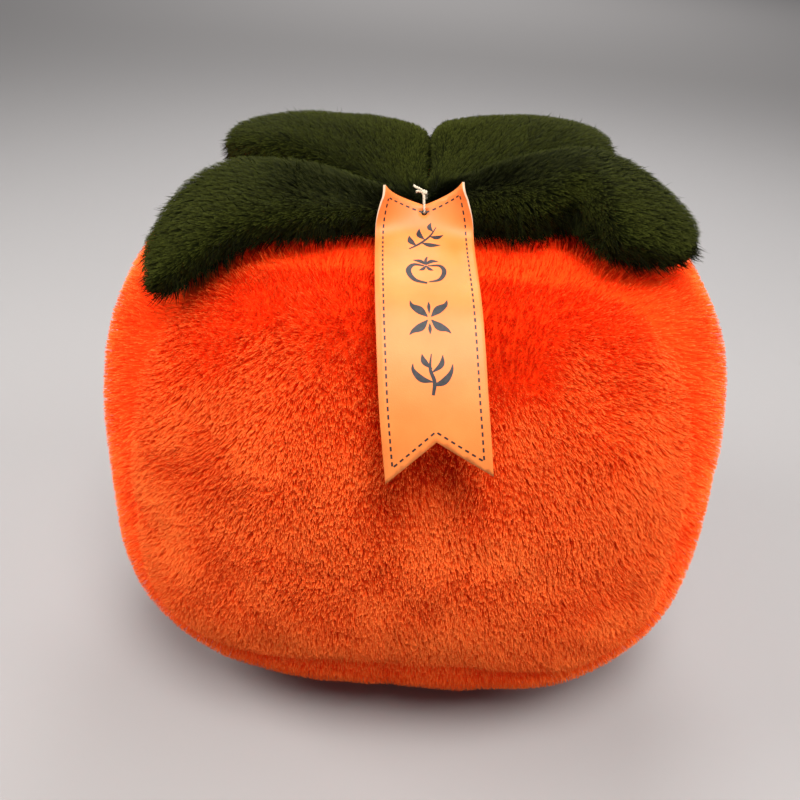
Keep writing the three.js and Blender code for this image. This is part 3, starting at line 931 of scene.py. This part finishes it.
# The ribbon: a fine flat net with its notches and its hole, then both faces and the cut edge
def make_tag():
    outline = walk(tag_outline(0), TAG_CELL)
    turn = np.linspace(0, math.tau, TAG_HOLE_SIDES, endpoint=False)
    hole = np.array([0, HOLE_ALONG]) + TAG_HOLE_RADIUS * np.stack([np.cos(turn), np.sin(turn)], 1)
    across = np.arange(-TAG_WIDTH / 2, TAG_WIDTH / 2, TAG_CELL)
    along = np.arange(0, TAG_LENGTH, TAG_CELL)
    grid = np.stack(np.meshgrid(across, along), -1).reshape(-1, 2) + GRID_START
    grid = grid[inside(tag_outline(RIM_ROOM), grid)]
    grid = grid[norms(grid - [0, HOLE_ALONG]) > TAG_HOLE_RADIUS + HOLE_ROOM]
    edges = []
    first = 0
    for ring in (outline, hole):
        edges += [(first + k, first + (k + 1) % len(ring)) for k in range(len(ring))]
        first += len(ring)
    flat = np.concatenate([outline, hole, grid])
    found = delaunay_2d_cdt([Vector(p * IN_MM) for p in flat], edges, [], 1, JOIN_WITHIN)
    flat = np.array([tuple(p) for p in found[0]]) / IN_MM
    faces = np.array(found[2])
    middle = flat[faces].mean(1)
    kept = norms(middle - [0, HOLE_ALONG]) > HOLE_MIDDLES * TAG_HOLE_RADIUS
    faces = faces[kept & inside(tag_outline(0), middle)]
    corners = flat[faces]
    turned_over = cross(corners[:, 1] - corners[:, 0], corners[:, 2] - corners[:, 0]) > 0
    faces[turned_over] = faces[turned_over][:, ::-1]
    count = len(flat)
    half = TAG_WIDTH / 2
    front, back = (
        tag_points(flat[:, 0] / half, flat[:, 1], side * TAG_THICK / 2) for side in (1, -1))
    sides = np.concatenate([faces[:, [0, 1]], faces[:, [1, 2]], faces[:, [2, 0]]])
    known = {tuple(edge) for edge in sides.tolist()}
    border = np.array([edge for edge in sides.tolist() if (edge[1], edge[0]) not in known])
    walls = np.stack([border[:, 1], border[:, 0], border[:, 0] + count, border[:, 1] + count], 1)
    loops = np.concatenate([faces.ravel(), (faces + count)[:, ::-1].ravel(), walls.ravel()])
    which = np.repeat(np.array([0, 1], np.int32), [2 * len(faces), len(walls)])
    points = np.concatenate([front, back])
    piece = make_object("tag_ribbon", points, loops, 3 + which, smooth=which == 0)
    attach(piece, [LEATHER, CUT_EDGE], "tag_leather", "tag")
    piece.data.polygons.foreach_set("material_index", which)
    return piece


# Ink on the tag's face: bands that follow lines of (across, along, width) in metres
def ink_bands(lines):
    points, quads = [], []
    first = 0
    for line in lines:
        place, width = line[:, :2], line[:, 2:]
        way = unit(np.gradient(place, axis=0))
        side = np.stack([way[:, 1], -way[:, 0]], 1) * width / 2
        rows = []
        for edge, off in ((side, INK_RISE), (-side, INK_RISE), (-side, -INK_SINK), (side, -INK_SINK)):
            at = place + edge
            rows.append(tag_points(at[:, 0] / (TAG_WIDTH / 2), at[:, 1], TAG_THICK / 2 + off))
        count = len(line)
        index = first + np.arange(4 * count).reshape(4, count)
        for k in range(4):
            near, far = index[k], index[(k + 1) % 4]
            quads.append(np.stack([near[:-1], near[1:], far[1:], far[:-1]], 1))
        quads.append(np.array([index[:, 0], index[::-1, -1]]))
        points.append(np.concatenate(rows))
        first += 4 * count
    return np.concatenate(points), np.concatenate(quads)


def make_ink():
    lines = []
    corners = tag_outline(STITCH_INSET)
    for start, end in zip(corners, np.roll(corners, -1, axis=0)):
        length = np.linalg.norm(end - start)
        count = max(1, round(length / STITCH_PITCH))
        for k in range(count):
            centre = (k + 0.5) / count
            shares = centre + np.linspace(-0.5, 0.5, DASH_STEPS) * STITCH_LENGTH / length
            line = lerp(start, end, shares[:, None])
            lines.append(np.hstack([line, np.full((DASH_STEPS, 1), STITCH_WIDTH)]))
    for along, motif in MOTIFS:
        for stroke in motif:
            strokes = np.array(stroke, float) * np.array([1, -1, 1]) * MM
            line, _ = open_curve(np.insert(strokes, 2, 0, axis=1), STROKE_STEPS)
            line = np.delete(line, 2, axis=1) + np.array([0, along, 0])
            line[:, 2] = np.maximum(line[:, 2], LEAST_STROKE)
            lines.append(line)
    piece = quads_object("tag_print", *ink_bands(lines), smooth=False)
    attach(piece, [INK], "tag_leather")
    return piece


# Tube round a line, as points and quads, closed on itself or open at its ends
def tube(line, radius, sides, closed=False):
    around = np.roll(line, -1, axis=0) - np.roll(line, 1, axis=0)
    way = unit(around if closed else np.gradient(line, axis=0))
    ups = [unit(np.cross(way[0], TUBE_ASKEW))]
    for tangent in way[1:]:
        ups.append(unit(ups[-1] - tangent * (ups[-1] @ tangent)))
    ups = np.array(ups)
    rights = np.cross(way, ups)
    turn = np.linspace(0, math.tau, sides, endpoint=False)
    ring = np.cos(turn)[None, :, None] * ups[:, None] + np.sin(turn)[None, :, None] * rights[:, None]
    points = (line[:, None] + ring * radius).reshape(-1, 3)
    index = np.arange(len(points)).reshape(-1, sides)
    near, far = (index, np.roll(index, -1, axis=0)) if closed else (index[:-1], index[1:])
    quads = np.stack([near, np.roll(near, -1, axis=1), np.roll(far, -1, axis=1), far], -1)
    return points, quads.reshape(-1, 4)


# Two plies wound round a line
def twisted(line, length):
    way = unit(np.gradient(line, axis=0))
    side = unit(np.cross(way, PLY_ASKEW))
    other = np.cross(way, side)
    angle = np.linspace(0, math.tau * length / PLY_PITCH, len(line))[:, None]
    for phase in (0, math.pi):
        offset = np.cos(angle + phase) * side + np.sin(angle + phase) * other
        yield tube(line + PLY_OFF * offset, PLY_RADIUS, PLY_SIDES)


def make_thread():
    outer, inner = TAG_TOP_NOTCH - NOTCH_OUT, TAG_TOP_NOTCH + THREAD_BEND
    low = HOLE_ALONG - THREAD_BEND
    face = [tag_points(0, [along], off * THREAD_CLEAR)[0] for along, off in (
        (TIE_ALONG, 0), (outer, 1), (inner, 1), (low, 1), (HOLE_ALONG, 0), (low, -1), (inner, -1),
        (outer, -1), (TIE_ALONG + THREAD_BEND, -0.5),
    )]
    tie = face[0]
    calyx = top_points(CALYX_PLACE, CALYX_HEIGHT)[0]
    root = top_points(CALYX_PLACE, ROOT_HEIGHT)[0]
    line, length = open_curve([root, calyx, lerp(calyx, tie, THREAD_MIDWAY), *face], THREAD_STEPS)
    parts = [*twisted(line, length)]
    for ends in TAILS:
        parts += twisted(*open_curve(np.array(ends, float) * MM + tie, TAIL_STEPS))
    t = np.linspace(0, math.tau, KNOT_STEPS, endpoint=False)
    knot = np.stack([np.sin(t) + 2 * np.sin(2 * t), np.cos(t) - 2 * np.cos(2 * t), -np.sin(3 * t)], 1)
    parts.append(tube(tie + knot * TIE_RADIUS, PLY_OFF, PLY_SIDES, closed=True))
    points, quads, first = [], [], 0
    for own_points, own_quads in parts:
        points.append(own_points)
        quads.append(own_quads + first)
        first += len(own_points)
    piece = quads_object("tag_thread_twist", np.concatenate(points), np.concatenate(quads))
    attach(piece, [THREAD], "thread", "tag_thread")
    return piece


def new_material(name, colour, roughness, specular):
    material = bpy.data.materials.new(name)
    material.use_nodes = True
    shader = material.node_tree.nodes["Principled BSDF"]
    shader.inputs["Base Color"].default_value = (*colour, 1)
    shader.inputs["Roughness"].default_value = roughness
    shader.inputs["Specular IOR Level"].default_value = specular
    return material, material.node_tree.nodes, material.node_tree.links, shader


def add_ramp(nodes, stops):
    ramp = nodes.new("ShaderNodeValToRGB")
    while len(ramp.color_ramp.elements) < len(stops):
        ramp.color_ramp.elements.new(0.5)
    for element, (at, colour) in zip(ramp.color_ramp.elements, stops):
        element.position = at
        element.color = (*colour, 1)
    return ramp


# Plush colour: from root to tip along the strand, times a tint that varies by strand and is darkened
# by painted shade where the skin faces down
def plush_material(name, along, tints, sheen, sheen_tint):
    material, nodes, links, shader = new_material(
        name, along[-1][1], PLUSH_ROUGHNESS, PLUSH_SPECULAR)
    where = nodes.new("ShaderNodeUVMap")
    where.uv_map = MAP
    parts = nodes.new("ShaderNodeSeparateXYZ")
    links.new(where.outputs[0], parts.inputs[0])
    mixed = nodes.new("ShaderNodeMix")
    mixed.data_type = "RGBA"
    mixed.blend_type = "MULTIPLY"
    mixed.inputs["Factor"].default_value = 1
    for source, stops, socket in zip("YX", (along, tints), MIX_INPUTS):
        ramp = add_ramp(nodes, stops)
        links.new(parts.outputs[source], ramp.inputs[0])
        links.new(ramp.outputs[0], mixed.inputs[socket])
    links.new(mixed.outputs[MIX_OUTPUT], shader.inputs["Base Color"])
    shader.inputs["Sheen Weight"].default_value = sheen
    shader.inputs["Sheen Roughness"].default_value = SHEEN_ROUGHNESS
    shader.inputs["Sheen Tint"].default_value = (*sheen_tint, 1)
    return material


# Colour that wanders between stops with the noise, and a fine bump of its own scale
def grained_material(name, stops, patch_scale, grain_scale, height, roughness, specular):
    material, nodes, links, shader = new_material(name, stops[-1][1], roughness, specular)
    where = nodes.new("ShaderNodeTexCoord")
    patches = nodes.new("ShaderNodeTexNoise")
    patches.inputs["Scale"].default_value = patch_scale
    patches.inputs["Detail"].default_value = PATCH_DETAIL
    grain = nodes.new("ShaderNodeTexNoise")
    grain.inputs["Scale"].default_value = grain_scale
    grain.inputs["Detail"].default_value = GRAIN_DETAIL
    bump = nodes.new("ShaderNodeBump")
    bump.inputs["Distance"].default_value = height
    bump.inputs["Strength"].default_value = BUMP_STRENGTH
    ramp = add_ramp(nodes, stops)
    for noise in (patches, grain):
        links.new(where.outputs["Object"], noise.inputs["Vector"])
    links.new(patches.outputs[0], ramp.inputs[0])
    links.new(ramp.outputs[0], shader.inputs["Base Color"])
    links.new(grain.outputs[0], bump.inputs["Height"])
    links.new(bump.outputs[0], shader.inputs["Normal"])
    return material


ORANGE = plush_material(
    "orange_plush",
    along=((0, (0.97, 0.062, 0.004)), (0.35, (1, 0.092, 0.008)), (0.75, (0.98, 0.12, 0.012)),
           (1, (0.92, 0.2, 0.04))),
    tints=((0, (0.95, 0.75, 0.7)), (0.5, (1, 0.97, 0.97)), (1, (1, 1, 1))),
    sheen=0.07, sheen_tint=(1, 0.35, 0.08))
GREEN = plush_material(
    "green_plush",
    along=((0, (0.003, 0.0038, 0.0004)), (0.4, (0.0063, 0.0083, 0.0007)),
           (0.75, (0.014, 0.0175, 0.0015)), (1, (0.045, 0.052, 0.0075))),
    # Dark low end of the tints: random tone, and the painted shade of strands where the skin faces
    # down
    tints=((0, (0.4, 0.36, 0.3)), (0.7, (0.95, 0.95, 0.95)), (1, (1, 1, 1))),
    sheen=0.01, sheen_tint=(0.75, 0.8, 0.3))
# Name, colour stops, patch scale, grain scale, bump height, roughness and specular
LEATHER, CUT_EDGE, INK, THREAD, FIBRE = (grained_material(*look) for look in (
    ("tag_leather", ((0.3, (0.75, 0.172, 0.028)), (0.7, (0.79, 0.212, 0.042))),
     45, 1900, 0.12 * MM, 0.5, 0.4),
    ("tag_cut_edge", ((0.3, (0.62, 0.42, 0.26)), (0.7, (0.74, 0.56, 0.4))),
     400, 3000, 0.1 * MM, 0.8, 0.3),
    ("tag_ink", ((0.35, (0.008, 0.007, 0.009)), (0.75, (0.03, 0.024, 0.026))),
     500, 2500, 0.05 * MM, 0.55, 0.4),
    ("cotton_thread", ((0.3, (0.5, 0.42, 0.3)), (0.7, (0.68, 0.6, 0.46))),
     900, 4000, 0.08 * MM, 0.85, 0.2),
    ("filling_fibre", ((0.3, (0.8, 0.77, 0.72)), (0.7, (0.93, 0.92, 0.9))),
     60, 900, 1 * MM, 0.95, 0.2),
))


def make_camera():
    level = math.cos(CAMERA_ELEVATION)
    back = Vector((math.sin(CAMERA_AZIMUTH) * level, -math.cos(CAMERA_AZIMUTH) * level,
                   math.sin(CAMERA_ELEVATION)))
    right = (-back).cross(Vector((0, 0, 1))).normalized()
    up = right.cross(-back)
    x = right * math.cos(CAMERA_ROLL) + up * math.sin(CAMERA_ROLL)
    y = up * math.cos(CAMERA_ROLL) - right * math.sin(CAMERA_ROLL)
    data = bpy.data.cameras.new("camera")
    data.lens = CAMERA_LENS
    data.sensor_width = CAMERA_SENSOR
    data.clip_start = CAMERA_NEAR
    camera = bpy.data.objects.new("camera", data)
    SCENE.collection.objects.link(camera)
    place = CAMERA_TARGET + back * CAMERA_DISTANCE
    camera.matrix_world = Matrix((*zip(x, y, back, place), (0, 0, 0, 1)))
    SCENE.camera = camera


def area_light(name, place, aim, size, power, colour):
    data = bpy.data.lights.new(name, "AREA")
    data.shape = "DISK"
    data.size = size
    data.energy = power
    data.color = colour
    lamp = bpy.data.objects.new(name, data)
    lamp.location = place
    lamp.rotation_mode = "QUATERNION"
    lamp.rotation_quaternion = (Vector(aim) - Vector(place)).to_track_quat("-Z", "Y")
    SCENE.collection.objects.link(lamp)


def make_stage():
    corners = np.array([(-1, -1, 0), (1, -1, 0), (1, 1, 0), (-1, 1, 0)]) * FLOOR_HALF
    floor = quads_object("floor", corners, np.array([[0, 1, 2, 3]]))
    material, *_ = new_material("pale_floor", FLOOR_COLOUR, FLOOR_ROUGHNESS, FLOOR_SPECULAR)
    floor.data.materials.append(material)
    floor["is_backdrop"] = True
    for name, values in LIGHTS.items():
        area_light(name, *values)
    world = bpy.data.worlds.new("studio")
    world.use_nodes = True
    background = world.node_tree.nodes["Background"]
    background.inputs["Color"].default_value = (*WORLD_COLOUR, 1)
    background.inputs["Strength"].default_value = WORLD_STRENGTH
    SCENE.world = world
    SCENE.view_settings.view_transform = "Standard"


# The carried-over filling gets its fibre
def dress_filling():
    for thing in bpy.data.objects:
        if thing.type == "MESH" and thing.name.split(".")[0] == "filling":
            thing.data.materials.clear()
            thing.data.materials.append(FIBRE)


make_camera()
make_stage()
make_cover()
make_leaves()
thread = make_thread()
ink = make_ink()
tag = make_tag()
dress_filling()

shown_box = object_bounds()
[[list(corner) for corner in box] for box in (solid_box, shown_box)]
